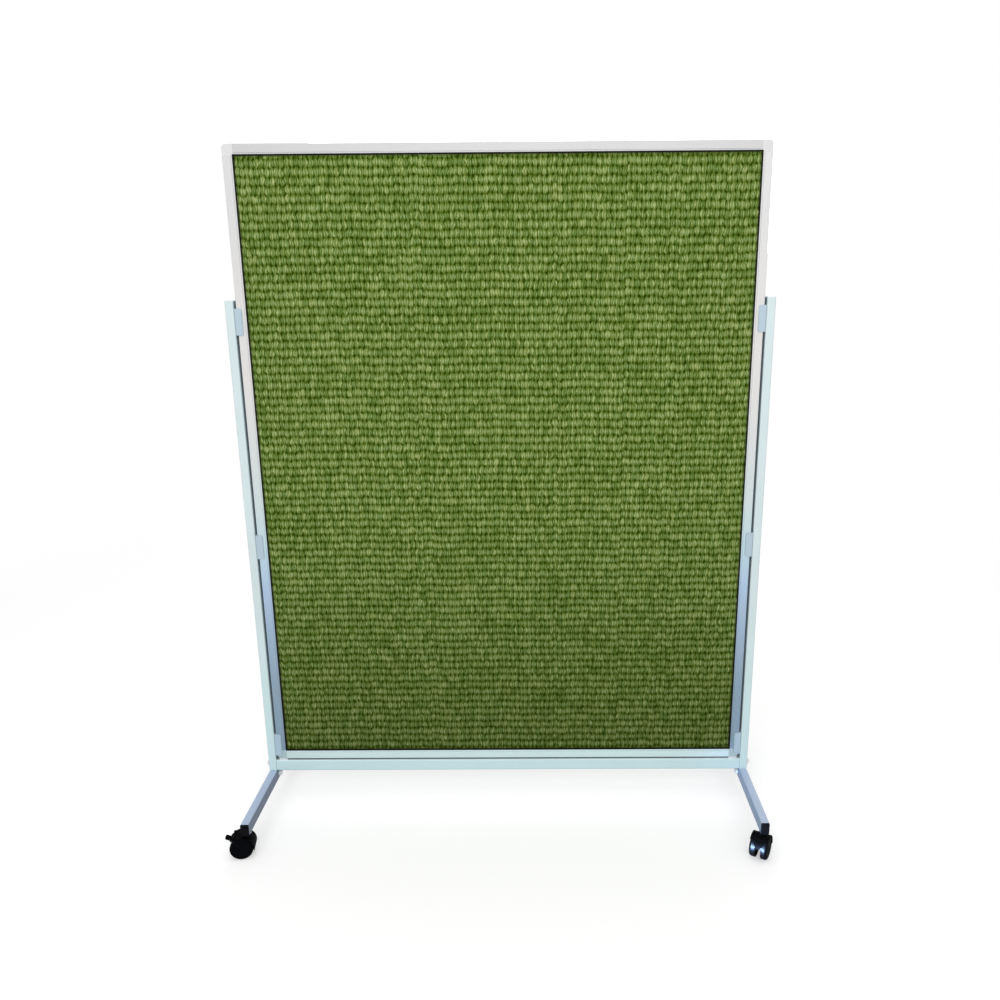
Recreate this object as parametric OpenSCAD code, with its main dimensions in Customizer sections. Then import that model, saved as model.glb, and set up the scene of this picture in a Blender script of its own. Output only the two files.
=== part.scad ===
// Rolling partition: a framed two-sided pinboard on a tube stand with four twin-wheel casters.
// X runs to the right, Y to the rear and Z up. The origin is on the floor, under the middle.

/* [Panel] */
// Width of the framed panel
panel_w = 1200; // [900:10:1500]
// Height of the framed panel
panel_h = 1500; // [1400:10:1800]
// Thickness of the frame, front face to back face
frame_t = 24; // [22:0.5:28]
// Width of the frame's face, seen from the front
frame_face = 21.5; // [20:0.5:23]
// Wall of the frame extrusion
frame_wall = 1.5; // [1.2:0.1:1.8]
// Depth of the closed chamber along the frame's outer edge
chamber_depth = 8; // [6:0.5:8.5]
// Radius of the extrusion's long edges
frame_edge_r = 1; // [0.6:0.1:1.1]
// Distance of the shadow groove from the frame's inner edge
groove_inset = 3; // [2:0.1:4]
// Width of the shadow groove
groove_w = 0.8; // [0.5:0.1:1.2]
// Depth of the shadow groove
groove_depth = 0.5; // [0.3:0.1:0.8]

/* [Corner pieces] */
// Length of a corner piece along each edge
corner_len = 24; // [23.5:0.5:30]
// Radius of the panel's outer corners
corner_r = 9; // [4:0.5:12]
// Length of the keys that push into the rails
key_len = 30; // [20:1:45]
// Width of the slot that splits each key into two prongs
key_slot = 8; // [4:0.5:12]
// Length of the slot in each key
key_slot_len = 18; // [8:1:19]
// Size of the chamfer at each key's tip
key_tip = 2; // [0.5:0.1:2.5]

/* [Pinboard] */
// Thickness of the cloth on each side
fabric_t = 1.3; // [0.6:0.1:1.5]
// How far the gasket presses the cloth down round its edge
cloth_press = 0.3; // [0.1:0.05:0.5]
// Room between the cloth's raised face and the gasket
cloth_ease = 0.5; // [0.2:0.1:1.5]
// Thickness of the black gasket under the frame's lips
gasket_t = 1.5; // [1:0.1:2]
// Width of gasket that shows inside the frame
gasket_show = 2.8; // [1:0.1:4]
// Width of gasket held under the frame's lip
gasket_hold = 6; // [4:0.5:8]
// Gap left round the board's hidden edge
board_gap = 1; // [0.5:0.1:2]

/* [Stand tubes] */
// Width of an upright, side to side
upright_w = 20; // [18:0.5:25]
// Depth of an upright, front to back
upright_d = 30; // [29:0.5:40]
// Length of an upright
upright_len = 1200; // [1100:10:1300]
// Depth of the crossbar, front to back
crossbar_d = 30; // [26:0.5:40]
// Height of the crossbar
crossbar_h = 30; // [26:0.5:40]
// Height of a leg tube
leg_h = 30; // [28:0.5:40]
// Length of a leg tube
leg_len = 480; // [400:10:600]
// Wall of the stand tubes
tube_wall = 2; // [1.5:0.1:2.5]
// Outer corner radius of the stand tubes
tube_r = 3; // [2.6:0.1:4]
// Thickness of the flange on the end plugs
plug_flange = 3; // [2:0.5:5]
// Depth of the end plugs inside their tube
plug_depth = 7; // [4:0.5:7.5]
// Wall of the hollow end plugs
plug_wall = 2; // [1.5:0.1:3]
// Bevel round the end plugs' flanges
plug_bevel = 1; // [0.5:0.1:1.8]

/* [Clips] */
// Length of a clip along the upright
clip_len = 60; // [50:1:74]
// Thickness of a clip's web, which sets the panel's gap to the upright
clip_web = 5; // [4:0.5:8]
// Thickness of a clip's flanges
clip_flange = 2; // [1.5:0.1:2.5]
// Width of frame that a clip's flanges cover
clip_cover = 12; // [8:0.5:16]
// Radius of the flanges' free corners
clip_r = 4; // [2:0.5:7]
// Radius of the bends between a clip's web and its flanges
clip_bend_r = 1.5; // [0.5:0.1:1.9]
// Height of the lowest clip's centre above the panel's lower edge
clip_low = 40; // [40:1:80]
// Distance of the highest clip's centre below the upright's top
clip_drop = 46; // [40:1:80]
// Distance between the two screws of a clip
clip_screw_pitch = 36; // [26:1:40]

/* [Fasteners] */
// Diameter of the clip screws
clip_screw_d = 5; // [4:0.5:6]
// Length of the clip screws
clip_screw_len = 14; // [12:1:20]
// Diameter of the clip screws' countersunk heads
clip_head_d = 9; // [8:0.5:10]
// Height of the clip screws' countersunk heads
clip_head_h = 2.5; // [2:0.1:3]
// Diameter of the stand's joint bolts
bolt_d = 6; // [5:0.5:8]
// Width across the flats of the joint bolts' heads and nuts
bolt_head_af = 10; // [9.5:0.5:13]
// Height of the joint bolts' heads
bolt_head_h = 4; // [3:0.5:6]
// Height of the joint bolts' nuts
nut_h = 5; // [4:0.5:6]
// Length of bolt that holds in the crossbar's insert
bolt_grip = 18; // [12:1:19]
// Wall of the white caps over the bolt heads
dome_wall = 1.4; // [1:0.1:2]
// Height of the caps' dome above the head
dome_crown = 4; // [2:0.5:6]
// Diameter of the flat outer heads of the foot bolts
flat_head_d = 13; // [10:0.5:16]
// Thickness of the flat outer heads of the foot bolts
flat_head_h = 1.5; // [1:0.1:2]

/* [Joiners] */
// Length of the crossbar's threaded end inserts
insert_len = 25; // [20:1:40]
// Height of the rests between the crossbar and the panel
rest_h = 4; // [2:0.5:8]
// Length of the rests along the crossbar
rest_len = 21; // [10:1:21]
// Height of the block that joins an upright to its leg, inside the upright
joiner_up = 30; // [28:1:44]

/* [Casters] */
// Diameter of a wheel
wheel_d = 55; // [50:1:56]
// Width over both wheels of a caster
caster_w = 42; // [40:1:50]
// Gap between a caster's two wheels
wheel_gap = 13; // [12.8:0.1:15]
// Radius of a wheel's outer shoulder
shoulder_r = 6; // [3:0.5:7]
// Thickness of a wheel's rim
rim_t = 4; // [3:0.5:5]
// Thickness of a wheel's side wall
wheel_side_t = 4; // [3.2:0.2:5]
// Number of ribs inside a wheel, from its hub to its rim
wheel_ribs = 8; // [5:1:12]
// Thickness of the wheels' ribs
wheel_rib_t = 1.6; // [1:0.1:2.4]
// Depth of the ribs' edges below the wheel's inner face
wheel_rib_drop = 2; // [1:0.5:4]
// Distance of the axle behind the swivel axis
trail = 15; // [13:0.5:17]
// Height of the leg's underside above the floor
leg_clear = 62; // [61:0.5:70]
// Distance of the swivel axis from the leg's end
stem_inset = 16; // [16:0.5:40]
// Diameter of the stem inside the fork
stem_d = 7; // [6:0.5:8]
// Diameter of the stem's thread
stem_thread_d = 8; // [8:0.5:10]
// Length of the stem's thread in the leg
stem_thread_len = 22; // [14:1:24]
// Length of the threaded block over the stem, along the leg
socket_len = 16; // [12:1:16]
// Diameter of the stem's collar under the leg
collar_d = 17; // [14:0.5:20]
// Height of the stem's collar
collar_h = 2.4; // [1.5:0.1:2.6]
// Diameter of the axle
axle_d = 6; // [5:0.5:7]
// Thickness of the wheel guard
guard_t = 2; // [1.5:0.1:2.2]
// Gap between the guard and the wheels
guard_gap = 1.2; // [0.8:0.1:1.4]
// Angle of the guard's rear edge above the axle, seen from the side
guard_rear = 52; // [48:1:56]
// Angle of the guard's front edge round from the rear of the axle
guard_front = 188; // [170:1:200]
// Angle of the fork's tongue tip above the axle
tongue_angle = 16; // [8:1:30]
// Width of the fork's tongue where it leaves the guard
tongue_root_w = 26; // [16:1:32]
// Width of the fork's tongue at its tip
tongue_tip_w = 7; // [5:0.5:12]
// Width of the brake pedal's blade
pedal_w = 16; // [12:0.5:18]
// Thickness of the brake pedal
pedal_t = 2.6; // [2:0.1:3]
// Length of the pedal's blade
pedal_len = 13.5; // [10:0.5:16]
// Slope of the pedal's blade when it is up
pedal_rise = 28; // [15:1:40]
// Width of the brake pad that bears on both wheels
pad_w = 26; // [22:1:30]
// Gap between the pad and the wheels when the pedal is up
pad_gap = 2.9; // [2.6:0.1:3.4]
// Diameter of the pedal's pivot pins
pedal_pin_d = 3; // [2:0.2:3.2]
// Turn of the front left caster from straight right, against the clock
turn_left = 190; // [180:1:200]
// Turn of the front right caster from straight right, against the clock
turn_right = 240; // [230:1:250]

/* [Hidden] */
$fn = 64;
hull_fn = 32;
eps = 0.01;
// Room left round pieces that push into a tube or a slot
push_gap = 0.15;
// Radial room of a shaft that turns in its bore
run_gap = 0.05;
// Radial room of a bolt in its thread, or of a pin held in its bore
thread_gap = 0.03;
// Radial room of a bolt in a clearance hole
bolt_gap = 0.2;
// Room between a turning piece and its fixed neighbour
turn_gap = 0.2;
// Gap between a clip's flange and the frame's face
clip_gap = 0.1;
// Angle from a raised pedal's pivot round to the end of the room it needs
pedal_room_a = 6;

frame_in_t = frame_t - 2 * frame_wall;
frame_seat = 2 * frame_wall + chamber_depth;
board_w = panel_w - 2 * (frame_seat + board_gap);
board_h = panel_h - 2 * (frame_seat + board_gap);
hem_t = fabric_t - cloth_press;
core_t = frame_in_t - 2 * (gasket_t + hem_t);

leg_top = leg_clear + leg_h;
crossbar_top = leg_top + crossbar_h;
panel_z = crossbar_top + rest_h;
panel_mid_z = panel_z + panel_h / 2;
upright_x = panel_w / 2 + clip_web + upright_w / 2;
upright_in_x = panel_w / 2 + clip_web;
upright_out_x = upright_in_x + upright_w;
upright_top = leg_top + upright_len;
cross_bolt_z = leg_top + crossbar_h / 2;
foot_bolt_z = leg_clear + leg_h / 2;
tube_in_w = upright_w - 2 * tube_wall;
joiner_d = upright_d - 2 * tube_wall - 2 * push_gap;
joiner_w = tube_in_w - 2 * push_gap;
joiner_down = leg_h - tube_wall - push_gap;

bolt_head_d = bolt_head_af / cos(30);
dome_in_d = bolt_head_d + 2 * push_gap;
dome_d = dome_in_d + 2 * dome_wall;
clip_out_t = frame_t + 2 * (clip_gap + clip_flange);
clip_pitch = (upright_top - clip_drop - panel_z - clip_low) / 2;

stem_y = leg_len / 2 - stem_inset;
wheel_r = wheel_d / 2;
wheel_w = (caster_w - wheel_gap) / 2;
guard_in_r = wheel_r + guard_gap;
guard_out_r = guard_in_r + guard_t;
guard_mid_r = guard_in_r + guard_t / 2;
guard_top = wheel_r + guard_out_r;
collar_z = leg_clear - collar_h;
barrel_top = collar_z - turn_gap;
barrel_d = wheel_gap - 1;
barrel_low = wheel_r - 8;
rib_w = barrel_d - 2;
stem_short = 2;
pin_low = barrel_low + stem_short;
web_t = 5;
hub_d = axle_d + 7;
hub_gap = 0.3;
hub_w = wheel_gap - 2 * hub_gap;
hub_len = wheel_w - wheel_side_t;
cup_r = wheel_r - rim_t;
inner_edge_r = 0.8;
face_dish = 0.8;
rib_bite = 1;
pad_r = wheel_r + pad_gap;
pad_low_a = guard_rear - 12;
pedal_low_a = 0;
pedal_room_r = guard_out_r + 2 * pad_gap;
pedal_pivot_a = guard_rear + 8;
pedal_barrel_d = pedal_pin_d + 1.4;
pedal_pivot_r = pad_r + pedal_t / 2;
pedal_pivot_x = trail + pedal_pivot_r * cos(pedal_pivot_a);
pedal_pivot_z = wheel_r + pedal_pivot_r * sin(pedal_pivot_a);
pedal_ear_w = 3;
pedal_ear_wall = 2;
pedal_tip_r = 4;
grip_d = 1.2;

// Sides and casters
left = -1;
right = 1;
front = -1;
rear = 1;

aluminium = [0.86, 0.87, 0.89];
white_paint = [0.87, 0.91, 0.93];
white_plastic = [0.93, 0.93, 0.93];
black_plastic = [0.04, 0.04, 0.045];
black_rubber = [0.03, 0.03, 0.03];
steel = [0.68, 0.69, 0.71];
cloth_green = [0.34, 0.42, 0.19];
board_brown = [0.55, 0.45, 0.33];

// ---------- plain shapes ----------

// Rectangle about the origin with true round corners
module rounded_rect(w, h, r) {
    square([w - 2 * r, h], center = true);
    square([w, h - 2 * r], center = true);
    for (sx = [-1, 1], sy = [-1, 1])
        translate([sx * (w / 2 - r), sy * (h / 2 - r)]) circle(r);
}

// Rectangular tube along Z
module tube(w, d, len) {
    linear_extrude(len) difference() {
        rounded_rect(w, d, tube_r);
        rounded_rect(w - 2 * tube_wall, d - 2 * tube_wall, tube_r - tube_wall);
    }
}

// Cylinder along X, from the point p towards +X
module rod_x(p, d, len) {
    translate(p) rotate([0, 90, 0]) cylinder(d = d, h = len);
}

// Cylinder along Y, with its middle at p
module rod_y(p, d, len) {
    translate(p) rotate([90, 0, 0]) cylinder(d = d, h = len, center = true);
}

// Hexagon along X, from the point p towards +X
module hex_x(p, len) {
    translate(p) rotate([0, 90, 0]) cylinder(d = bolt_head_d, h = len, $fn = 6);
}

// Draws a right-hand piece on the side asked for
module on_side(side) {
    mirror([side == left ? 1 : 0, 0, 0]) children();
}

// ---------- panel ----------

// Section of the frame extrusion: X inwards from the outer edge, Y through the thickness
module frame_section() {
    channel_depth = frame_face - frame_seat + eps;
    difference() {
        translate([frame_face / 2, 0]) rounded_rect(frame_face, frame_t, frame_edge_r);
        translate([frame_wall, -frame_in_t / 2]) square([chamber_depth, frame_in_t]);
        translate([frame_seat, -frame_in_t / 2]) square([channel_depth, frame_in_t]);
        for (s = [-1, 1])
            translate([frame_face - groove_inset, s * (frame_t / 2)])
                square([groove_w, 2 * groove_depth], center = true);
    }
}

// Extrusion along X, centred, with its outer edge down
module rail(len) {
    rotate([0, -90, 0]) translate([0, 0, -len / 2]) linear_extrude(len) frame_section();
}

module bottom_rail() {
    color(aluminium) translate([0, 0, panel_z]) rail(panel_w - 2 * corner_len);
}

module top_rail() {
    color(aluminium) translate([0, 0, panel_z + panel_h])
        mirror([0, 0, 1]) rail(panel_w - 2 * corner_len);
}

// Upright extrusion with its outer edge at +X
module stile(side) {
    len = panel_h - 2 * corner_len;
    color(aluminium) on_side(side) translate([panel_w / 2, 0, panel_mid_z - len / 2])
        mirror([1, 0, 0]) linear_extrude(len) frame_section();
}

// Two-pronged key that pushes into a rail's chamber, along +X from the corner piece
module corner_key() {
    key_w = chamber_depth - 2 * push_gap;
    key_t = frame_in_t - 2 * push_gap;
    translate([corner_len, -key_t / 2, frame_wall + push_gap]) difference() {
        translate([-eps, 0, 0]) cube([key_len + eps, key_t, key_w]);
        translate([key_len - key_slot_len, (key_t - key_slot) / 2, -eps])
            cube([key_slot_len + eps, key_slot, key_w + 2 * eps]);
        translate([key_len, key_t / 2, key_w]) rotate([0, 45, 0])
            cube([key_tip, key_t + 2 * eps, key_tip], center = true);
        translate([key_len, key_t / 2, 0]) rotate([0, 45, 0])
            cube([key_tip, key_t + 2 * eps, key_tip], center = true);
    }
}

// Arm of a corner piece along +X, with the extrusion's own outline
module corner_arm() {
    translate([corner_r, 0, 0]) rotate([90, 0, 90]) linear_extrude(corner_len - corner_r)
        translate([0, frame_face / 2]) rounded_rect(frame_t, frame_face, frame_edge_r);
}

// Round outer bend between a corner piece's two arms
module corner_bend() {
    translate([corner_r, 0, corner_r]) rotate([90, 0, 0]) rotate_extrude() intersection() {
        translate([corner_r - frame_face / 2, 0]) rounded_rect(frame_face, frame_t, frame_edge_r);
        translate([0, -frame_t / 2]) square([corner_r, frame_t]);
    }
}

// Moulded corner with its outer point at the origin, along +X and +Z
module corner_piece() {
    difference() {
        union() {
            corner_bend();
            corner_arm();
            mirror([1, 0, -1]) corner_arm();
        }
        translate([frame_seat, -frame_in_t / 2, frame_seat])
            cube([corner_len, frame_in_t, corner_len]);
    }
    corner_key();
    mirror([1, 0, -1]) corner_key();
}

// Corner piece at one of the panel's corners
module placed_corner(side, at_top) {
    corner_z = at_top ? panel_z + panel_h : panel_z;
    color(white_plastic) translate([side * panel_w / 2, 0, corner_z])
        mirror([0, 0, at_top ? 1 : 0]) mirror([side == right ? 1 : 0, 0, 0]) corner_piece();
}

// Flat slab of the board's size, whose front face is at y
module board_slab(y, t) {
    translate([-board_w / 2, y, panel_mid_z - board_h / 2]) cube([board_w, t, board_h]);
}

module pinboard_core() {
    color(board_brown) board_slab(-core_t / 2, core_t);
}

// Cloth on one face of the core, with its hem pressed down under the gasket
module fabric(face) {
    field_inset = frame_face + gasket_show + cloth_ease;
    field_w = panel_w - 2 * field_inset;
    field_h = panel_h - 2 * field_inset;
    color(cloth_green) mirror([0, face == rear ? 1 : 0, 0]) {
        board_slab(-core_t / 2 - hem_t, hem_t);
        translate([-field_w / 2, -core_t / 2 - fabric_t, panel_mid_z - field_h / 2])
            cube([field_w, cloth_press + eps, field_h]);
    }
}

// Black gasket ring pressed between the cloth and the frame's lip
module gasket(face) {
    outer_inset = frame_face - gasket_hold;
    inner_inset = frame_face + gasket_show;
    y = face == front ? -frame_in_t / 2 : frame_in_t / 2 - gasket_t;
    color(black_rubber) translate([0, y + gasket_t, panel_mid_z]) rotate([90, 0, 0])
        linear_extrude(gasket_t) difference() {
            square([panel_w - 2 * outer_inset, panel_h - 2 * outer_inset], center = true);
            square([panel_w - 2 * inner_inset, panel_h - 2 * inner_inset], center = true);
        }
}

// ---------- clips ----------

// Centre height of the clip with this index, counted from the lowest
function clip_z(index) = panel_z + clip_low + index * clip_pitch;

// U-shaped clip on the right upright, with its web against the upright
module clip_shape() {
    clip_w = clip_web + clip_cover;
    intersection() {
        linear_extrude(clip_len, center = true) difference() {
            union() {
                translate([-clip_w, -clip_out_t / 2]) square([clip_w / 2, clip_out_t]);
                translate([-clip_w / 2, 0]) rounded_rect(clip_w, clip_out_t, clip_bend_r);
            }
            translate([-clip_w - eps, -clip_out_t / 2 + clip_flange])
                square([clip_cover + eps, clip_out_t - 2 * clip_flange]);
        }
        translate([-clip_w / 2, 0, 0]) rotate([90, 0, 0])
            linear_extrude(clip_out_t, center = true) {
                rounded_rect(clip_w, clip_len, clip_r);
                translate([0, -clip_len / 2]) square([clip_w / 2, clip_len]);
            }
    }
}

// Places a child at each of a clip's screws, pointing from the panel to the upright
module at_clip_screws() {
    for (s = [-1, 1])
        translate([-clip_web, 0, s * clip_screw_pitch / 2]) rotate([0, 90, 0]) children();
}

module clip_screw_hole() {
    translate([0, 0, -eps]) {
        cylinder(d = clip_screw_d + 2 * bolt_gap, h = clip_web + 2 * eps);
        cylinder(d1 = clip_head_d + 2 * bolt_gap, d2 = clip_screw_d + 2 * bolt_gap,
                 h = clip_head_h + bolt_gap);
    }
}

module clip(side, index) {
    color(white_paint) on_side(side) translate([upright_in_x, 0, clip_z(index)])
        difference() {
            clip_shape();
            at_clip_screws() clip_screw_hole();
        }
}

// Countersunk screw, head up to the panel's edge
module clip_screw() {
    cylinder(d1 = clip_head_d, d2 = clip_screw_d, h = clip_head_h);
    cylinder(d = clip_screw_d, h = clip_screw_len);
}

module clip_screws() {
    color(steel) for (side = [left, right], index = [0:2])
        on_side(side) translate([upright_in_x, 0, clip_z(index)])
            at_clip_screws() clip_screw();
}

// ---------- stand ----------

module upright(side) {
    color(white_paint) on_side(side) difference() {
        translate([upright_x, 0, leg_top]) tube(upright_w, upright_d, upright_len);
        rod_x([upright_in_x - eps, 0, cross_bolt_z], bolt_d + 2 * bolt_gap, upright_w + 2 * eps);
        for (index = [0:2], s = [-1, 1])
            rod_x([upright_in_x - eps, 0, clip_z(index) + s * clip_screw_pitch / 2],
                  clip_screw_d + 2 * thread_gap, tube_wall + 2 * eps);
    }
}

// Hollow push-in plug for a tube's end, with its flange above the XY plane
module end_plug(w, d) {
    in_w = w - 2 * tube_wall - 2 * push_gap;
    in_d = d - 2 * tube_wall - 2 * push_gap;
    in_r = tube_r - tube_wall;
    top_w = w - 2 * plug_bevel;
    top_d = d - 2 * plug_bevel;
    hull() {
        linear_extrude(plug_flange - plug_bevel) rounded_rect(w, d, tube_r, $fn = hull_fn);
        linear_extrude(plug_flange)
            rounded_rect(top_w, top_d, tube_r - plug_bevel, $fn = hull_fn);
    }
    translate([0, 0, -plug_depth]) linear_extrude(plug_depth + eps) difference() {
        rounded_rect(in_w, in_d, in_r);
        rounded_rect(in_w - 2 * plug_wall, in_d - 2 * plug_wall, in_r);
    }
}

module upright_cap(side) {
    color(white_plastic) translate([side * upright_x, 0, upright_top])
        end_plug(upright_w, upright_d);
}

module crossbar() {
    color(white_paint) translate([-upright_in_x, 0, cross_bolt_z])
        rotate([0, 90, 0]) tube(crossbar_h, crossbar_d, 2 * upright_in_x);
}

// Block inside the crossbar's end, threaded for the joint bolt
module crossbar_inserts() {
    in_h = crossbar_h - 2 * tube_wall - 2 * push_gap;
    in_d = crossbar_d - 2 * tube_wall - 2 * push_gap;
    color(steel) for (side = [left, right])
        on_side(side) translate([upright_in_x - insert_len, 0, cross_bolt_z])
            rotate([0, 90, 0]) difference() {
                linear_extrude(insert_len) rounded_rect(in_h, in_d, tube_r - tube_wall);
                translate([0, 0, -eps])
                    cylinder(d = bolt_d + 2 * thread_gap, h = insert_len + 2 * eps);
            }
}

// Headed bolt through the upright into the crossbar's insert
module crossbar_bolts() {
    shank = upright_w + bolt_grip;
    color(steel) for (side = [left, right]) on_side(side) {
        rod_x([upright_out_x - shank, 0, cross_bolt_z], bolt_d, shank + eps);
        hex_x([upright_out_x, 0, cross_bolt_z], bolt_head_h);
    }
}

// Spacer that carries the panel's corner on the crossbar
module panel_rests() {
    color(white_plastic) for (side = [left, right])
        on_side(side) translate([panel_w / 2 - corner_len, -frame_t / 2, crossbar_top])
            cube([rest_len, frame_t, rest_h]);
}

// Steel block that stands in the leg and reaches up into the upright
module foot_joiner(side) {
    color(steel) on_side(side) difference() {
        translate([upright_x, 0, leg_top - joiner_down])
            linear_extrude(joiner_down + joiner_up)
                rounded_rect(joiner_w, joiner_d, tube_r - tube_wall);
        for (z = [cross_bolt_z, foot_bolt_z])
            rod_x([upright_x - upright_w / 2, 0, z], bolt_d + 2 * bolt_gap, upright_w);
    }
}

// Bolt from the leg's outer side, through the joiner, to the nut on the inner side
module foot_bolts() {
    shank = upright_w + nut_h;
    color(steel) for (side = [left, right]) on_side(side) {
        rod_x([upright_out_x - shank, 0, foot_bolt_z], bolt_d, shank + eps);
        rod_x([upright_out_x, 0, foot_bolt_z], flat_head_d, flat_head_h);
    }
}

module foot_nuts() {
    color(steel) for (side = [left, right]) on_side(side) difference() {
        hex_x([upright_in_x - nut_h, 0, foot_bolt_z], nut_h);
        rod_x([upright_in_x - nut_h - eps, 0, foot_bolt_z],
              bolt_d + 2 * thread_gap, nut_h + 2 * eps);
    }
}

// Cover cap on the XY plane: a skirt round a head of the height given, and a dome over it
module dome(head_h) {
    skirt_h = head_h + push_gap;
    base_r = dome_d / 2;
    ball_r = (base_r * base_r + dome_crown * dome_crown) / (2 * dome_crown);
    difference() {
        union() {
            cylinder(r = base_r, h = skirt_h);
            intersection() {
                translate([0, 0, skirt_h + dome_crown - ball_r]) sphere(ball_r);
                translate([0, 0, skirt_h - eps]) cylinder(r = base_r, h = dome_crown + 1);
            }
        }
        translate([0, 0, -eps]) cylinder(d = dome_in_d, h = skirt_h + eps);
    }
}

module bolt_domes() {
    color(white_plastic) for (side = [left, right]) on_side(side) {
        translate([upright_out_x, 0, cross_bolt_z]) rotate([0, 90, 0]) dome(bolt_head_h);
        translate([upright_in_x, 0, foot_bolt_z]) rotate([0, -90, 0]) dome(nut_h);
    }
}

module leg(side) {
    slot_w = joiner_w + 2 * push_gap;
    slot_d = joiner_d + 2 * push_gap;
    color(white_paint) on_side(side) difference() {
        translate([upright_x, leg_len / 2, foot_bolt_z]) rotate([90, 0, 0])
            tube(upright_w, leg_h, leg_len);
        translate([upright_x - slot_w / 2, -slot_d / 2, leg_top - tube_wall - eps])
            cube([slot_w, slot_d, tube_wall + 2 * eps]);
        rod_x([upright_in_x - eps, 0, foot_bolt_z], bolt_d + 2 * bolt_gap, upright_w + 2 * eps);
        for (end = [front, rear])
            translate([upright_x, end * stem_y, leg_clear - eps])
                cylinder(d = stem_thread_d + 2 * bolt_gap, h = tube_wall + 2 * eps);
    }
}

module leg_plug(side, end) {
    color(black_plastic) translate([side * upright_x, end * leg_len / 2, foot_bolt_z])
        rotate([end == front ? 90 : -90, 0, 0]) end_plug(upright_w, leg_h);
}

// ---------- casters ----------

// Threaded block inside the leg over each stem
module caster_sockets() {
    color(steel) for (side = [left, right], end = [front, rear])
        translate([side * upright_x, end * stem_y, leg_clear + tube_wall]) difference() {
            translate([-joiner_w / 2, -socket_len / 2, 0])
                cube([joiner_w, socket_len, stem_thread_len]);
            translate([0, 0, -eps])
                cylinder(d = stem_thread_d + 2 * thread_gap, h = stem_thread_len + 2 * eps);
        }
}

// Stem: thread in the leg, collar under it and a plain pin down into the fork
module caster_stems() {
    color(steel) for (side = [left, right], end = [front, rear])
        translate([side * upright_x, end * stem_y, 0]) {
            translate([0, 0, leg_clear - eps])
                cylinder(d = stem_thread_d, h = tube_wall + stem_thread_len - stem_short);
            translate([0, 0, collar_z]) cylinder(d = collar_d, h = collar_h);
            translate([0, 0, pin_low]) cylinder(d = stem_d, h = collar_z - pin_low + eps);
        }
}

// Caster frame: the swivel axis at the origin, the wheels trailing towards +X
module placed_caster(side, end) {
    own_turn = side * end == 1 ? turn_left : turn_right;
    turn = end == front ? own_turn : own_turn + 180;
    translate([side * upright_x, end * stem_y, 0]) rotate([0, 0, turn]) children();
}

// Point at radius r and angle a about the axle, in the XZ plane
function about_axle(r, a) = [trail + r * cos(a), wheel_r + r * sin(a)];

// Ring part about the axle between two angles, w wide
module axle_ring(r_in, r_out, a_from, a_to, w) {
    reach = 2 * r_out;
    step = (a_to - a_from) / 4;
    rotate([90, 0, 0]) linear_extrude(w, center = true) intersection() {
        translate([trail, wheel_r]) difference() {
            circle(r_out, $fn = 96);
            if (r_in > 0) circle(r_in, $fn = 96);
        }
        polygon([about_axle(0, 0), for (i = [0:4]) about_axle(reach, a_from + i * step)]);
    }
}

// Tapering tongue of the guard that comes down between the wheels
module fork_tongue() {
    root_z = wheel_r + guard_out_r * sin(guard_rear);
    tip_z = wheel_r + guard_in_r * sin(tongue_angle);
    intersection() {
        axle_ring(guard_in_r, guard_out_r, tongue_angle, guard_rear + 2, tongue_root_w);
        rotate([90, 0, 90]) linear_extrude(trail + 2 * guard_out_r)
            polygon([
                [-tongue_root_w / 2, root_z], [tongue_root_w / 2, root_z],
                [tongue_tip_w / 2, tip_z], [-tongue_tip_w / 2, tip_z]
            ]);
    }
}

// Web between the wheels, with the hub boss at the axle and a rib under the guard
module fork_web() {
    web_rear = tongue_angle + 8;
    axle_ring(0, guard_mid_r, web_rear, guard_front, web_t);
    axle_ring(wheel_r - rim_t, guard_mid_r, guard_rear, guard_front, rib_w);
    rod_y([trail, 0, wheel_r], hub_d, hub_w);
}

// Barrel for the stem, from low in the web up to the collar
module fork_barrel() {
    translate([0, 0, barrel_low]) cylinder(d = barrel_d, h = barrel_top - barrel_low);
}

// Wider boss round the stem, standing on the guard
module fork_boss() {
    translate([0, 0, wheel_r]) cylinder(d = collar_d, h = barrel_top - wheel_r);
}

// Ears that hold the pedal's pins, over the guard's rear edge
module pedal_ears() {
    for (s = [-1, 1])
        rod_y([pedal_pivot_x, s * (pad_w / 2 + push_gap + pedal_ear_w / 2), pedal_pivot_z],
              pedal_pin_d + 2 * pedal_ear_wall, pedal_ear_w);
}

// Room for the pedal's barrel and pad as they swing
module pedal_room() {
    axle_ring(wheel_r - hub_gap, pedal_room_r, pedal_low_a,
              pedal_pivot_a + pedal_room_a, pad_w + 2 * push_gap);
}

// Swivelling fork; braked ones carry a pedal in place of the tongue
module fork(side, end, braked) {
    color(black_plastic) placed_caster(side, end) difference() {
        union() {
            axle_ring(guard_in_r, guard_out_r, guard_rear, guard_front, caster_w);
            if (!braked) fork_tongue();
            difference() {
                union() {
                    fork_boss();
                    if (braked) pedal_ears();
                }
                rod_y([trail, 0, wheel_r], 2 * guard_mid_r, caster_w + 2);
            }
            fork_web();
            fork_barrel();
        }
        if (braked) pedal_room();
        if (braked)
            rod_y([pedal_pivot_x, 0, pedal_pivot_z], pedal_pin_d + 2 * run_gap, caster_w);
        rod_y([trail, 0, wheel_r], axle_d + 2 * thread_gap, caster_w);
        translate([0, 0, barrel_low - 1])
            cylinder(d = stem_d + 2 * run_gap, h = barrel_top - barrel_low + 2);
    }
}

module axle(side, end) {
    axle_len = wheel_gap + 2 * hub_len;
    color(steel) placed_caster(side, end) rod_y([trail, 0, wheel_r], axle_d, axle_len);
}

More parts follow.
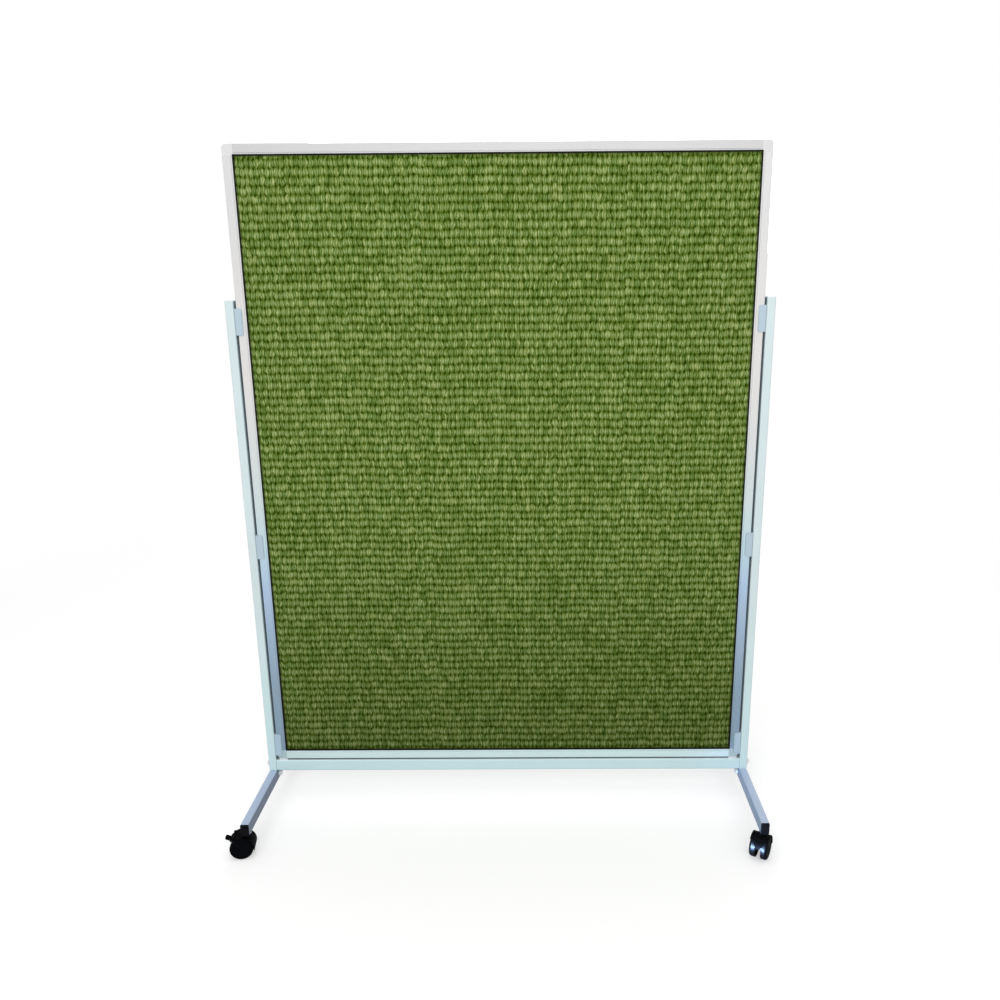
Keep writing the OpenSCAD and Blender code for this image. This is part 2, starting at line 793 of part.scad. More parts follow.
// Half section of a wheel: X out from the axle, Y along it from the inner face
module wheel_section() {
    bore_r = axle_d / 2 + run_gap;
    cap_r = hub_d / 2 + 1;
    band_w = wheel_w - shoulder_r - inner_edge_r;
    difference() {
        union() {
            square([wheel_r - shoulder_r, wheel_w]);
            translate([0, inner_edge_r]) square([wheel_r, band_w]);
            square([wheel_r - inner_edge_r, wheel_w - shoulder_r]);
            translate([wheel_r - inner_edge_r, inner_edge_r]) circle(inner_edge_r);
            translate([wheel_r - shoulder_r, wheel_w - shoulder_r]) circle(shoulder_r);
        }
        translate([hub_d / 2, -eps]) square([cup_r - hub_d / 2, hub_len + eps]);
        translate([-eps, -eps]) square([bore_r + eps, hub_len + hub_gap + eps]);
        translate([cap_r, wheel_w - face_dish])
            square([wheel_r - shoulder_r - cap_r, face_dish + eps]);
        translate([-wheel_r, -wheel_r]) square([wheel_r, 3 * wheel_r]);
    }
}

// Ribs that stiffen a wheel's cup, from the hub out to the rim
module wheel_rib_star() {
    rib_in = hub_d / 2 - rib_bite;
    rib_len = cup_r + rib_bite - rib_in;
    for (i = [1:wheel_ribs])
        rotate([0, 0, i * 360 / wheel_ribs])
            translate([rib_in, -wheel_rib_t / 2, wheel_rib_drop])
                cube([rib_len, wheel_rib_t, hub_len + rib_bite - wheel_rib_drop]);
}

// One wheel; s is the side of the fork that it runs on
module wheel(side, end, s) {
    color(black_plastic) placed_caster(side, end)
        translate([trail, s * wheel_gap / 2, wheel_r]) rotate([s == 1 ? -90 : 90, 0, 0]) {
            rotate_extrude($fn = 96) wheel_section();
            wheel_rib_star();
        }
}

// Foot pedal: pins and barrel, a pad that follows the treads, and a blade that rises from it
module brake_pedal(side, end) {
    pin_len = pad_w + 2 * (push_gap + pedal_ear_w);
    fold = about_axle(pedal_pivot_r, pad_low_a);
    color(black_plastic) placed_caster(side, end) {
        rod_y([pedal_pivot_x, 0, pedal_pivot_z], pedal_barrel_d, pad_w);
        rod_y([pedal_pivot_x, 0, pedal_pivot_z], pedal_pin_d, pin_len);
        axle_ring(pad_r, pad_r + pedal_t, pad_low_a, pedal_pivot_a, pad_w);
        rod_y([fold[0], 0, fold[1]], pedal_t, pad_w);
        translate([fold[0], 0, fold[1]]) rotate([0, -pedal_rise, 0]) pedal_blade();
    }
}

// Blade of the pedal along +X, with cross ribs for the shoe's grip
module pedal_blade() {
    straight = pedal_len / 2;
    linear_extrude(pedal_t, center = true) {
        translate([0, -pedal_w / 2]) square([straight, pedal_w]);
        translate([straight, 0]) rounded_rect(pedal_len, pedal_w, pedal_tip_r);
    }
    for (i = [1:3])
        rod_y([i * pedal_len / 4, 0, pedal_t / 2], grip_d, pedal_w - 2 * pedal_tip_r);
}

top_rail();
bottom_rail();
stile(left);  // left_stile
stile(right);  // right_stile
placed_corner(left, true);  // top_left_corner
placed_corner(right, true);  // top_right_corner
placed_corner(left, false);  // bottom_left_corner
placed_corner(right, false);  // bottom_right_corner
pinboard_core();
fabric(front);  // front_fabric
fabric(rear);  // back_fabric
gasket(front);  // front_gasket
gasket(rear);  // back_gasket
clip(left, 2);  // left_upper_clip
clip(left, 1);  // left_middle_clip
clip(left, 0);  // left_lower_clip
clip(right, 2);  // right_upper_clip
clip(right, 1);  // right_middle_clip
clip(right, 0);  // right_lower_clip
clip_screws();
upright(left);  // left_upright
upright(right);  // right_upright
upright_cap(left);  // left_upright_cap
upright_cap(right);  // right_upright_cap
crossbar();
crossbar_inserts();
crossbar_bolts();
panel_rests();
foot_joiner(left);  // left_foot_joiner
foot_joiner(right);  // right_foot_joiner
foot_bolts();
foot_nuts();
bolt_domes();
leg(left);  // left_leg
leg(right);  // right_leg
leg_plug(left, front);  // left_front_plug
leg_plug(right, front);  // right_front_plug
leg_plug(left, rear);  // left_rear_plug
leg_plug(right, rear);  // right_rear_plug
caster_sockets();
caster_stems();
fork(left, front, true);  // front_left_fork
axle(left, front);  // front_left_axle
wheel(left, front, -1);  // front_left_wheel_a
wheel(left, front, 1);  // front_left_wheel_b
brake_pedal(left, front);  // front_left_brake_pedal
fork(right, front, false);  // front_right_fork
axle(right, front);  // front_right_axle
wheel(right, front, -1);  // front_right_wheel_a
wheel(right, front, 1);  // front_right_wheel_b
fork(left, rear, false);  // rear_left_fork
axle(left, rear);  // rear_left_axle
wheel(left, rear, -1);  // rear_left_wheel_a
wheel(left, rear, 1);  // rear_left_wheel_b
fork(right, rear, true);  // rear_right_fork
axle(right, rear);  // rear_right_axle
wheel(right, rear, -1);  // rear_right_wheel_a
wheel(right, rear, 1);  // rear_right_wheel_b
brake_pedal(right, rear);  // rear_right_brake_pedal
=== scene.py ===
"""Looks of a rolling partition: a clothed pinboard in an aluminium frame on a castored stand.

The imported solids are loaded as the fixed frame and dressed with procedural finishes. The two
cloth faces are made here as stretched sheets with a woven relief, and stand for the plain slabs.
All sizes are in metres, in the frame's own coordinates: X right, Y to the rear, Z up.
"""

import logging
import math
from abc import ABC, abstractmethod
from dataclasses import dataclass, field
from enum import Enum
from typing import Any, ClassVar, Iterable, Mapping, Sequence, Union

import bmesh
import bpy
from mathutils import Matrix, Vector


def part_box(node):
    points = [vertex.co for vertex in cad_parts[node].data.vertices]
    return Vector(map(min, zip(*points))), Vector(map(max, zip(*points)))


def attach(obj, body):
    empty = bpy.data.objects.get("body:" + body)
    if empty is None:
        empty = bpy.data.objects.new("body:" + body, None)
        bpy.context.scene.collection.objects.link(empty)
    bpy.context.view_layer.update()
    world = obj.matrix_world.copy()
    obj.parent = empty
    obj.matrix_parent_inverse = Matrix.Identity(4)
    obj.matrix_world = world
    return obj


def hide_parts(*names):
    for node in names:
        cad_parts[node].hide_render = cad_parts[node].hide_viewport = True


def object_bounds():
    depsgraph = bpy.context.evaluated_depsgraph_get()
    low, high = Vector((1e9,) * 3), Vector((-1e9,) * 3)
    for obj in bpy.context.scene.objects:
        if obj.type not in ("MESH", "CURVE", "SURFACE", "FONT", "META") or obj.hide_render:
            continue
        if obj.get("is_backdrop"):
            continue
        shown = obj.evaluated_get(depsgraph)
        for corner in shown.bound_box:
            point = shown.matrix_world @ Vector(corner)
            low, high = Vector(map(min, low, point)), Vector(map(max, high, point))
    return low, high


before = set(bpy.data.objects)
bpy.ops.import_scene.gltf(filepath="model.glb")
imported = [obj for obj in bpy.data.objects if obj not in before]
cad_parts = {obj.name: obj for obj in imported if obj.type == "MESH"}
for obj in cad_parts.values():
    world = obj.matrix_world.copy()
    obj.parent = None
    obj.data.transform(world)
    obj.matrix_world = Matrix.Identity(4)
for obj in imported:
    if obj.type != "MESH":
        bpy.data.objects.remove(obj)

LOG = logging.getLogger("rolling_partition")
STAND = "stand"
MM = 0.001

Colour = tuple[float, float, float]
Tones = tuple[tuple[float, Colour], ...]
Number = Union[float, "Value"]

WHITE: Colour = (1.0, 1.0, 1.0)
# Painted shade: the colour laid on metal and coat deep in a narrow gap, where the studio's light
# hardly reaches
CREVICE_SHADE: Colour = (0.26, 0.33, 0.36)
CREVICE_SAMPLES = 6
EDGE_SAMPLES = 4
NOISE_ROUGHNESS = 0.55


# ---------------------------------------------------------------- shader expressions


class Value:
    """A number socket of a node tree that can be used in a Python expression."""

    def __init__(self, tree: bpy.types.NodeTree, socket: bpy.types.NodeSocket) -> None:
        """Wraps a socket.

        Args:
            tree: The tree that holds the socket.
            socket: An output socket.
        """
        self.tree = tree
        self.socket = socket

    def math(self, operation: str, *others: Number) -> "Value":
        """Adds one Math node whose first input is this value.

        Args:
            operation: The Math node's operation.
            others: Its other inputs, as values or plain numbers.

        Returns:
            The node's result.
        """
        node = self.tree.nodes.new("ShaderNodeMath")
        node.operation = operation
        for socket, number in zip(node.inputs, (self, *others)):
            if isinstance(number, Value):
                self.tree.links.new(number.socket, socket)
            else:
                socket.default_value = number
        return Value(self.tree, node.outputs[0])

    def __add__(self, other: Number) -> "Value":
        """Returns the sum."""
        return self.math("ADD", other)

    __radd__ = __add__

    def __mul__(self, other: Number) -> "Value":
        """Returns the product."""
        return self.math("MULTIPLY", other)

    __rmul__ = __mul__

    def __sub__(self, other: Number) -> "Value":
        """Returns this less the other."""
        return self.math("SUBTRACT", other)

    def __rsub__(self, other: Number) -> "Value":
        """Returns the other less this."""
        return self * -1.0 + other

    def __truediv__(self, other: Number) -> "Value":
        """Returns the quotient."""
        return self.math("DIVIDE", other)

    def __pow__(self, other: Number) -> "Value":
        """Returns this raised to a power."""
        return self.math("POWER", other)

    def absolute(self) -> "Value":
        """Returns the value without its sign."""
        return self.math("ABSOLUTE")

    def floor(self) -> "Value":
        """Returns the whole number at or below the value."""
        return self.math("FLOOR")

    def sine(self) -> "Value":
        """Returns the sine of the value in radians."""
        return self.math("SINE")

    def odd(self) -> "Value":
        """Returns 1 where the whole number at or below the value is odd, and 0 where it is even."""
        return (self.floor() * 0.5).math("FRACT") * 2.0

    def lesser(self, other: Number) -> "Value":
        """Returns the lesser of two values."""
        return self.math("MINIMUM", other)

    def step(self, low: float, high: float) -> "Value":
        """Rises smoothly from 0 to 1.

        Args:
            low: Where the rise starts.
            high: Where the rise ends.

        Returns:
            A value from 0 to 1.
        """
        node = add_node(
            self.tree,
            "ShaderNodeMapRange",
            {"Value": self, "From Min": low, "From Max": high},
            {"interpolation_type": "SMOOTHSTEP"},
        )
        return Value(self.tree, node.outputs["Result"])

    def arch(self, sharpness: float = 1.0) -> "Value":
        """Returns a row of humps, 0 at each whole number and 1 halfway between them.

        Args:
            sharpness: How narrow the humps are; 1 gives plain arches.

        Returns:
            A value from 0 to 1.
        """
        return (self * math.pi).sine().absolute() ** sharpness


def add_node(
    tree: bpy.types.NodeTree,
    kind: str,
    values: Mapping[Union[int, str], Any] | None = None,
    settings: Mapping[str, Any] | None = None,
) -> bpy.types.Node:
    """Adds one node. Every node but the Math nodes of an expression comes from here.

    Args:
        tree: The tree that takes it.
        kind: The node's type.
        values: What each input socket holds or is linked to.
        settings: Its properties, set first; "stops" fills a colour ramp.

    Returns:
        The node.
    """
    made = tree.nodes.new(kind)
    for key, setting in (settings or {}).items():
        if key == "stops":
            fill_ramp(made.color_ramp, setting)
        else:
            setattr(made, key, setting)
    for key, value in (values or {}).items():
        if isinstance(value, Value):
            tree.links.new(value.socket, made.inputs[key])
        else:
            made.inputs[key].default_value = value
    return made


def fill_ramp(ramp: bpy.types.ColorRamp, stops: Sequence[tuple[float, Colour]]) -> None:
    """Gives a colour ramp its stops, each a place and a colour."""
    while len(ramp.elements) < len(stops):
        ramp.elements.new(1.0)
    for element, (place, colour) in zip(ramp.elements, stops):
        element.position = place
        element.color = (*colour, 1.0)


class Sheet:
    """One material and its node tree."""

    def __init__(self, name: str) -> None:
        """Starts an empty material of that name."""
        self.material = bpy.data.materials.new(name)
        self.material.use_nodes = True
        self.tree = self.material.node_tree
        self.tree.nodes.clear()
        self.place = self.node("ShaderNodeTexCoord", output="Object")

    def node(
        self,
        kind: str,
        settings: Mapping[str, Any] | None = None,
        values: Mapping[Union[int, str], Any] | None = None,
        output: Union[int, str] = 0,
    ) -> Value:
        """Adds one node.

        Args:
            kind: The node's type.
            settings: Its properties, set first; "stops" fills a colour ramp.
            values: What each input socket holds or is linked to.
            output: Which output socket is returned.

        Returns:
            The output, ready for an expression.
        """
        made = add_node(self.tree, kind, values, settings)
        return Value(self.tree, made.outputs[output] if made.outputs else None)

    def axes(self) -> tuple[Value, Value, Value]:
        """Returns the place's X, Y and Z."""
        split = add_node(self.tree, "ShaderNodeSeparateXYZ", {0: self.place})
        return tuple(Value(self.tree, socket) for socket in split.outputs)

    def facing(self, axis: str) -> Value:
        """Returns how far a face looks along an axis, from -1 to 1.

        Args:
            axis: The name of the axis: X, Y or Z.
        """
        normal = self.node("ShaderNodeTexCoord", output="Normal")
        return self.node("ShaderNodeSeparateXYZ", values={0: normal}, output=axis)

    def vector(self, x: Number, y: Number, z: Number) -> Value:
        """Returns a vector made of three numbers."""
        return self.node("ShaderNodeCombineXYZ", values={0: x, 1: y, 2: z})

    def stretched(self, scale: tuple[float, float, float]) -> Value:
        """Returns the place with each axis scaled."""
        return self.node("ShaderNodeMapping", values={"Vector": self.place, "Scale": scale})

    def noise(self, place: Value, scale: float, detail: float = 2.0) -> Value:
        """Returns smooth noise from 0 to 1.

        Args:
            place: Where it is read.
            scale: Waves in a metre.
            detail: How many finer waves are added.
        """
        values = {
            "Vector": place,
            "Scale": scale,
            "Detail": detail,
            "Roughness": NOISE_ROUGHNESS,
        }
        return self.node("ShaderNodeTexNoise", values=values)

    def random(self, place: Value) -> Value:
        """Returns a random number from 0 to 1 for each different place."""
        return self.node("ShaderNodeTexWhiteNoise", values={"Vector": place})

    def ramp(self, factor: Value, stops: Sequence[tuple[float, Colour]]) -> Value:
        """Returns a colour picked by a factor."""
        return self.node("ShaderNodeValToRGB", {"stops": stops}, {0: factor})

    def blend(self, factor: Number, first: Any, second: Any, mode: str = "MIX") -> Value:
        """Mixes two colours.

        Args:
            factor: From 0, the first, to 1, the second.
            first: A colour, or a link to one.
            second: A colour, or a link to one.
            mode: How the second is laid over the first.

        Returns:
            The mixed colour.
        """
        colours = [c if isinstance(c, Value) else (*c, 1.0) for c in (first, second)]
        return self.node(
            "ShaderNodeMix",
            {"data_type": "RGBA", "blend_type": mode},
            {0: factor, 6: colours[0], 7: colours[1]},
            output=2,
        )

    def bump(self, height: Value, depth: float, under: Value | None = None) -> Value:
        """Returns a normal bent by a height from 0 to 1.

        Args:
            height: The relief.
            depth: What a height of 1 stands for, in metres.
            under: A normal that this one is laid on.
        """
        values: dict[str, Any] = {"Height": height, "Distance": depth, "Strength": 1.0}
        if under is not None:
            values["Normal"] = under
        return self.node("ShaderNodeBump", values=values)

    def soft_edges(self, radius: float) -> Value:
        """Returns a normal that rounds the solid's edges by a radius."""
        return self.node("ShaderNodeBevel", {"samples": EDGE_SAMPLES}, {"Radius": radius})

    def worn_edges(self, radius: float) -> Value:
        """Returns 1 along the solid's sharp edges and 0 on its flats.

        Args:
            radius: How far the wear reaches from an edge.
        """
        flat = self.node("ShaderNodeNewGeometry", output="Normal")
        kept = self.node(
            "ShaderNodeVectorMath",
            {"operation": "DOT_PRODUCT"},
            {0: self.soft_edges(radius), 1: flat},
            output="Value",
        )
        return (1.0 - kept).step(0.01, 0.2)

    def painted_gap_shade(self, reach: float) -> Value:
        """Returns where shade is painted: 0 in the open and up to 1 deep in a narrow gap.

        Args:
            reach: How near the other side of the gap has to be, in metres.
        """
        light = self.node(
            "ShaderNodeAmbientOcclusion",
            {"samples": CREVICE_SAMPLES},
            {"Distance": reach},
            output="AO",
        )
        return (1.0 - light).step(0.3, 0.75)

    def finish(self, **sockets: Any) -> bpy.types.Material:
        """Ends the tree in a Principled shader.

        Args:
            sockets: The shader's inputs, with underscores for spaces in their names.

        Returns:
            The material.
        """
        values = {name.replace("_", " "): value for name, value in sockets.items()}
        shader = self.node("ShaderNodeBsdfPrincipled", values=values)
        self.node("ShaderNodeOutputMaterial", values={"Surface": shader})
        return self.material


# ---------------------------------------------------------------- finishes


class Grain(Enum):
    """Which way an extrusion was drawn, as the scale of its drawing lines on X, Y and Z."""

    ALONG_X = (6.0, 2600.0, 2600.0)
    ALONG_Z = (2600.0, 2600.0, 6.0)


class Finish(ABC):
    """A surface finish that builds its own material once."""

    made: ClassVar[dict[str, bpy.types.Material]] = {}
    name: str

    @abstractmethod
    def build(self) -> bpy.types.Material:
        """Returns a new material."""

    def material(self) -> bpy.types.Material:
        """Returns this finish's material, made at its first use."""
        if self.name not in self.made:
            self.made[self.name] = self.build()
        return self.made[self.name]


@dataclass(frozen=True)
class AnodisedAluminium(Finish):
    """Satin anodised extrusion with fine drawing lines.

    Its tones are colours with the heights above the floor at which they are reached. They are
    painted light and shade: bluer lower down, and on the stiles darker towards the foot.
    """

    name: str
    grain: Grain
    tones: Tones
    film: Colour = (0.5, 0.52, 0.55)
    bare_edge: Colour = (0.8, 0.82, 0.84)
    ramp_top: float = 1.7
    line_depth: float = 0.02 * MM
    edge: float = 0.4 * MM
    gap: float = 10.0 * MM

    def build(self) -> bpy.types.Material:
        """Returns the extrusion's material."""
        sheet = Sheet(self.name)
        _, _, z = sheet.axes()
        lines = sheet.noise(sheet.stretched(self.grain.value), 1.0, 3.0)
        cloudy = sheet.noise(sheet.place, 9.0, 3.0)
        handling = sheet.noise(sheet.place, 70.0, 5.0).step(0.55, 0.75)
        stops = [(height / self.ramp_top, tone) for height, tone in self.tones]
        # Painted light and shade: the tone by height above the floor
        shade = sheet.ramp(z / self.ramp_top, stops)
        shade = sheet.blend(lines * 0.1 + cloudy * 0.1, shade, self.film)
        shade = sheet.blend(sheet.worn_edges(self.edge) * 0.35, shade, self.bare_edge)
        # Painted shade in the gaps between pieces
        painted_gap_shade = sheet.painted_gap_shade(self.gap)
        shade = sheet.blend(painted_gap_shade, shade, CREVICE_SHADE)
        return sheet.finish(
            Base_Color=shade,
            Metallic=0.2,
            Roughness=0.36 + lines * 0.12 + cloudy * 0.06 + handling * 0.06 + painted_gap_shade * 0.4,
            Normal=sheet.bump(lines, self.line_depth, sheet.soft_edges(self.edge)),
        )


@dataclass(frozen=True)
class PowderCoat(Finish):
    """Powder-coated steel: a faint orange peel and specks, with painted light and shade in a tone
    for high and low and a tone for each way it faces.
    """

    name: str
    high: Colour
    low: Colour
    top: Colour
    left_side: Colour
    right_side: Colour
    under: Colour
    soil: Colour = (0.3, 0.33, 0.36)
    speck: Colour = (0.42, 0.43, 0.44)
    rubbed_edge: Colour = (0.86, 0.9, 0.91)
    gloss: float = 0.2
    peel_scale: float = 900.0
    peel_depth: float = 0.03 * MM
    edge: float = 0.5 * MM
    gap: float = 14.0 * MM

    def build(self) -> bpy.types.Material:
        """Returns the coat's material."""
        sheet = Sheet(self.name)
        _, _, z = sheet.axes()
        peel = sheet.noise(sheet.place, self.peel_scale, 1.5)
        cloudy = sheet.noise(sheet.place, 7.0, 4.0)
        specks = sheet.noise(sheet.place, 2400.0, 0.0).step(0.74, 0.8)
        # Painted light and shade: cooler low down, lit tops, shaded sides and a dark underside
        across = sheet.facing("X")
        shade = sheet.blend(z.step(0.1, 0.6), self.low, self.high)
        shade = sheet.blend(across.step(0.4, 0.95), shade, self.right_side)
        shade = sheet.blend((across * -1.0).step(0.4, 0.95), shade, self.left_side)
        upward = sheet.facing("Z")
        shade = sheet.blend(upward.step(0.2, 0.9), shade, self.top)
        shade = sheet.blend((upward * -1.0).step(0.1, 0.7), shade, self.under)
        shade = sheet.blend(cloudy.step(0.3, 0.7) * 0.06, shade, self.soil)
        shade = sheet.blend(specks * 0.2, shade, self.speck)
        shade = sheet.blend(sheet.worn_edges(self.edge) * 0.3, shade, self.rubbed_edge)
        # Painted shade in the gaps between pieces
        painted_gap_shade = sheet.painted_gap_shade(self.gap)
        shade = sheet.blend(painted_gap_shade, shade, CREVICE_SHADE)
        return sheet.finish(
            Base_Color=shade,
            Roughness=0.34 + peel * 0.06 + cloudy * 0.05 + painted_gap_shade * 0.5,
            Specular_IOR_Level=self.gloss,
            Normal=sheet.bump(peel, self.peel_depth, sheet.soft_edges(self.edge)),
        )


@dataclass(frozen=True)
class MouldedPlastic(Finish):
    """Moulded plastic with a spark-eroded grain, rubbed and scratched in places."""

    name: str
    colour: Colour
    rubbed: Colour
    roughness: float = 0.45
    gloss: float = 0.5
    grain_scale: float = 1500.0
    grain_depth: float = 0.04 * MM
    edge: float = 0.35 * MM

    def build(self) -> bpy.types.Material:
        """Returns the plastic's material."""
        sheet = Sheet(self.name)
        grain = sheet.noise(sheet.place, self.grain_scale, 2.0)
        rubs = sheet.noise(sheet.place, 38.0, 6.0).step(0.5, 0.75)
        scratches = sheet.noise(sheet.stretched((90.0, 700.0, 180.0)), 1.0, 4.0).step(0.6, 0.74)
        wear = rubs * 0.5 + scratches * 0.25 + sheet.worn_edges(self.edge) * 0.5
        return sheet.finish(
            Base_Color=sheet.blend(wear.lesser(1.0), self.colour, self.rubbed),
            Roughness=self.roughness + grain * 0.1 - rubs * 0.08 + scratches * 0.1,
            Specular_IOR_Level=self.gloss,
            Normal=sheet.bump(grain, self.grain_depth, sheet.soft_edges(self.edge)),
        )


@dataclass(frozen=True)
class WheelNylon(Finish):
    """Black nylon wheel, with matt discs and a tread that the floor has polished."""

    name: str
    axle: tuple[float, float, float]
    colour: Colour = (0.0025, 0.003, 0.004)
    dust: Colour = (0.008, 0.009, 0.012)
    gloss: float = 0.01
    polish: float = 0.09
    polish_roughness: float = 0.4
    grain_depth: float = 0.02 * MM
    edge: float = 0.35 * MM

    def build(self) -> bpy.types.Material:
        """Returns the wheel's material."""
        sheet = Sheet(self.name)
        grain = sheet.noise(sheet.place, 1500.0, 2.0)
        scuffs = sheet.noise(sheet.place, 120.0, 5.0).step(0.5, 0.75)
        along = sheet.node(
            "ShaderNodeVectorMath",
            {"operation": "DOT_PRODUCT"},
            {0: sheet.node("ShaderNodeTexCoord", output="Normal"), 1: self.axle},
            output="Value",
        )
        tread = 1.0 - along.absolute().step(0.3, 0.7)
        return sheet.finish(
            Base_Color=sheet.blend(scuffs * 0.5, self.colour, self.dust),
            Roughness=0.5 + grain * 0.1 - tread * 0.1,
            Specular_IOR_Level=self.gloss,
            Coat_Weight=tread * (scuffs * -0.02 + self.polish),
            Coat_Roughness=self.polish_roughness,
            Normal=sheet.bump(grain, self.grain_depth, sheet.soft_edges(self.edge)),
        )


@dataclass(frozen=True)
class GasketRubber(Finish):
    """Black rubber strip with a dusty bloom."""

    name: str = "black_gasket"
    colour: Colour = (0.003, 0.003, 0.003)
    bloom_colour: Colour = (0.012, 0.013, 0.01)
    gloss: float = 0.1
    pore_depth: float = 0.04 * MM

    def build(self) -> bpy.types.Material:
        """Returns the rubber's material."""
        sheet = Sheet(self.name)
        bloom = sheet.noise(sheet.place, 60.0, 5.0).step(0.45, 0.75)
        pores = sheet.noise(sheet.place, 2200.0, 1.0)
        return sheet.finish(
            Base_Color=sheet.blend(bloom * 0.5, self.colour, self.bloom_colour),
            Roughness=0.6 + pores * 0.15,
            Specular_IOR_Level=self.gloss,
            Normal=sheet.bump(pores, self.pore_depth),
        )


@dataclass(frozen=True)
class ZincPlate(Finish):
    """Bright zinc plate on turned and cut steel."""

    name: str = "zinc_plate"
    bright: Colour = (0.62, 0.63, 0.64)
    dull: Colour = (0.48, 0.47, 0.43)
    spangle_depth: float = 0.02 * MM
    edge: float = 0.3 * MM

    def build(self) -> bpy.types.Material:
        """Returns the plate's material."""
        sheet = Sheet(self.name)
        spangle = sheet.noise(sheet.place, 420.0, 3.0)
        wear = sheet.noise(sheet.place, 55.0, 5.0).step(0.45, 0.7)
        return sheet.finish(
            Base_Color=sheet.blend(wear * 0.6, self.bright, self.dull),
            Metallic=1.0,
            Roughness=0.24 + spangle * 0.14 + wear * 0.12,
            Normal=sheet.bump(spangle, self.spangle_depth, sheet.soft_edges(self.edge)),
        )


@dataclass(frozen=True)
class Softboard(Finish):
    """Raw pressed-fibre board."""

    name: str = "softboard"
    dark_fibre: Colour = (0.24, 0.16, 0.09)
    pale_fibre: Colour = (0.42, 0.31, 0.19)
    fibre_depth: float = 0.3 * MM

    def build(self) -> bpy.types.Material:
        """Returns the board's material."""
        sheet = Sheet(self.name)
        fibres = sheet.noise(sheet.stretched((500.0, 120.0, 500.0)), 1.0, 6.0)
        return sheet.finish(
            Base_Color=sheet.blend(fibres, self.dark_fibre, self.pale_fibre),
            Roughness=0.9,
            Normal=sheet.bump(fibres, self.fibre_depth),
        )


@dataclass(frozen=True)
class RibCloth(Finish):
    """Green rib cloth: upright floats in rows, with a dark hole between every four of them.

    The pattern is read from the sheet's own coordinates, which count floats and rows.
    """

    name: str
    coordinates: str
    columns: int
    rows: int
    greens: Tones = (
        (0.0, (0.022, 0.04, 0.001)),
        (0.3, (0.08, 0.132, 0.012)),
        (0.6, (0.151, 0.219, 0.051)),
        (1.0, (0.36, 0.452, 0.205)),
    )
    # Painted shade: the colour the cloth darkens to towards the foot and along the hem
    painted_shade_colour: Colour = (0.004, 0.006, 0.001)
    cool_tint: Colour = (0.94, 1.0, 1.1)
    warm_tint: Colour = (1.06, 1.0, 0.9)
    drift_tint: Colour = (0.75, 0.98, 0.9)
    gloss: float = 0.02
    foot_shade: float = 0.45
    tuck_shade: float = 0.5
    tuck: tuple[float, float] = (0.0108, 0.015)
    height_to_width: float = 1.25
    strands_per_float: int = 2
    twists_per_row: float = 7.0
    rib_depth: float = 0.5 * MM
    yarn_depth: float = 0.32 * MM

    def build(self) -> bpy.types.Material:
        """Returns the cloth's material, whose pattern follows the relief."""
        sheet = Sheet(self.name)
        counted = sheet.node("ShaderNodeUVMap", {"uv_map": self.coordinates})
        column, row = (
            sheet.node("ShaderNodeSeparateXYZ", values={0: counted}, output=axis) for axis in "XY"
        )
        tucked = self._tucked(column, row)
        wander = sheet.noise(sheet.stretched((60.0, 60.0, 75.0)), 1.0, 2.0) - 0.5
        column, row = column + wander * 1.2, row + wander * 0.3
        slip = sheet.random(sheet.vector(column.floor(), 3.0, 0.0)) - 0.5
        row = row + slip * 0.22
        ridge, rib = column.arch(2.0), row.arch(1.1)
        slit = (1.0 - column.arch(0.6)) * (1.0 - row.arch(0.8))
        checker = (column.floor() + row.floor()).odd()
        cell = sheet.random(sheet.vector(column.floor(), 7.0, row.floor()))
        strand_column = column * float(self.strands_per_float)
        strand = sheet.random(sheet.vector(strand_column.floor(), 0.0, row.floor()))
        twist = (row * self.twists_per_row + strand_column * 1.4 + strand * 3.0).arch(0.8)
        streaks = sheet.noise(sheet.stretched((380.0, 380.0, 80.0)), 1.0, 3.0)
        fuzz = sheet.noise(sheet.place, 1600.0, 4.0)
        lightness = (
            ridge * rib * (checker * 0.04 + cell * 0.06 + 0.05)
            + strand_column.arch(2.2) * (rib * 0.3 + 0.06)
            - (1.0 - rib) * 0.08
            - slit * 0.95
            + (strand - 0.5) * 0.32
            + (streaks - 0.5) * 1.0
            + (fuzz - 0.5) * 0.3
            + (twist - 0.7) * 0.16
            + 0.42
        )
        relief = sheet.bump(rib * 0.3 + rib * ridge * 0.3 - slit * 0.9, self.rib_depth)
        return sheet.finish(
            Base_Color=self._green(sheet, lightness, strand, tucked),
            Roughness=0.85 + fuzz * 0.1,
            Specular_IOR_Level=self.gloss,
            Normal=sheet.bump(streaks + fuzz * 0.4 + twist * 0.5, self.yarn_depth, relief),
        )

    def _tucked(self, column: Value, row: Value) -> Value:
        """Returns 1 where the cloth dips under the gasket and takes painted shade, and 0 in its
        open field.
        """
        across = (self.columns / 2 - (column - self.columns / 2).absolute()) * (1 / self.columns)
        along = (self.rows / 2 - (row - self.rows / 2).absolute()) * (1 / self.rows)
        return 1.0 - across.lesser(along * self.height_to_width).step(*self.tuck)

    def _green(self, sheet: Sheet, lightness: Value, strand: Value, tucked: Value) -> Value:
        """Returns the yarn's colour.

        Args:
            sheet: The material.
            lightness: Where the yarn is between its hollows and its crowns.
            strand: A random number for each strand.
            tucked: Where the cloth dips under the gasket and takes painted shade.
        """
        tint = sheet.blend(strand, self.cool_tint, self.warm_tint)
        shade = sheet.blend(1.0, sheet.ramp(lightness, self.greens), tint, "MULTIPLY")
        drift = sheet.noise(sheet.stretched((26.0, 26.0, 5.0)), 1.0, 3.0).step(0.35, 0.7)
        shade = sheet.blend(drift * 0.15, shade, self.drift_tint, "MULTIPLY")
        _, _, z = sheet.axes()
        # Painted shade: darker towards the foot, where less light falls, and along the hem by the
        # frame
        painted_shade = (1.0 - z.step(-0.1, 0.9)) * self.foot_shade + tucked * self.tuck_shade
        return sheet.blend(painted_shade.lesser(1.0), shade, self.painted_shade_colour)


# ---------------------------------------------------------------- the clothed faces


class Face(Enum):
    """The panel's two faces, as the way each looks along Y."""

    FRONT = -1
    BACK = 1


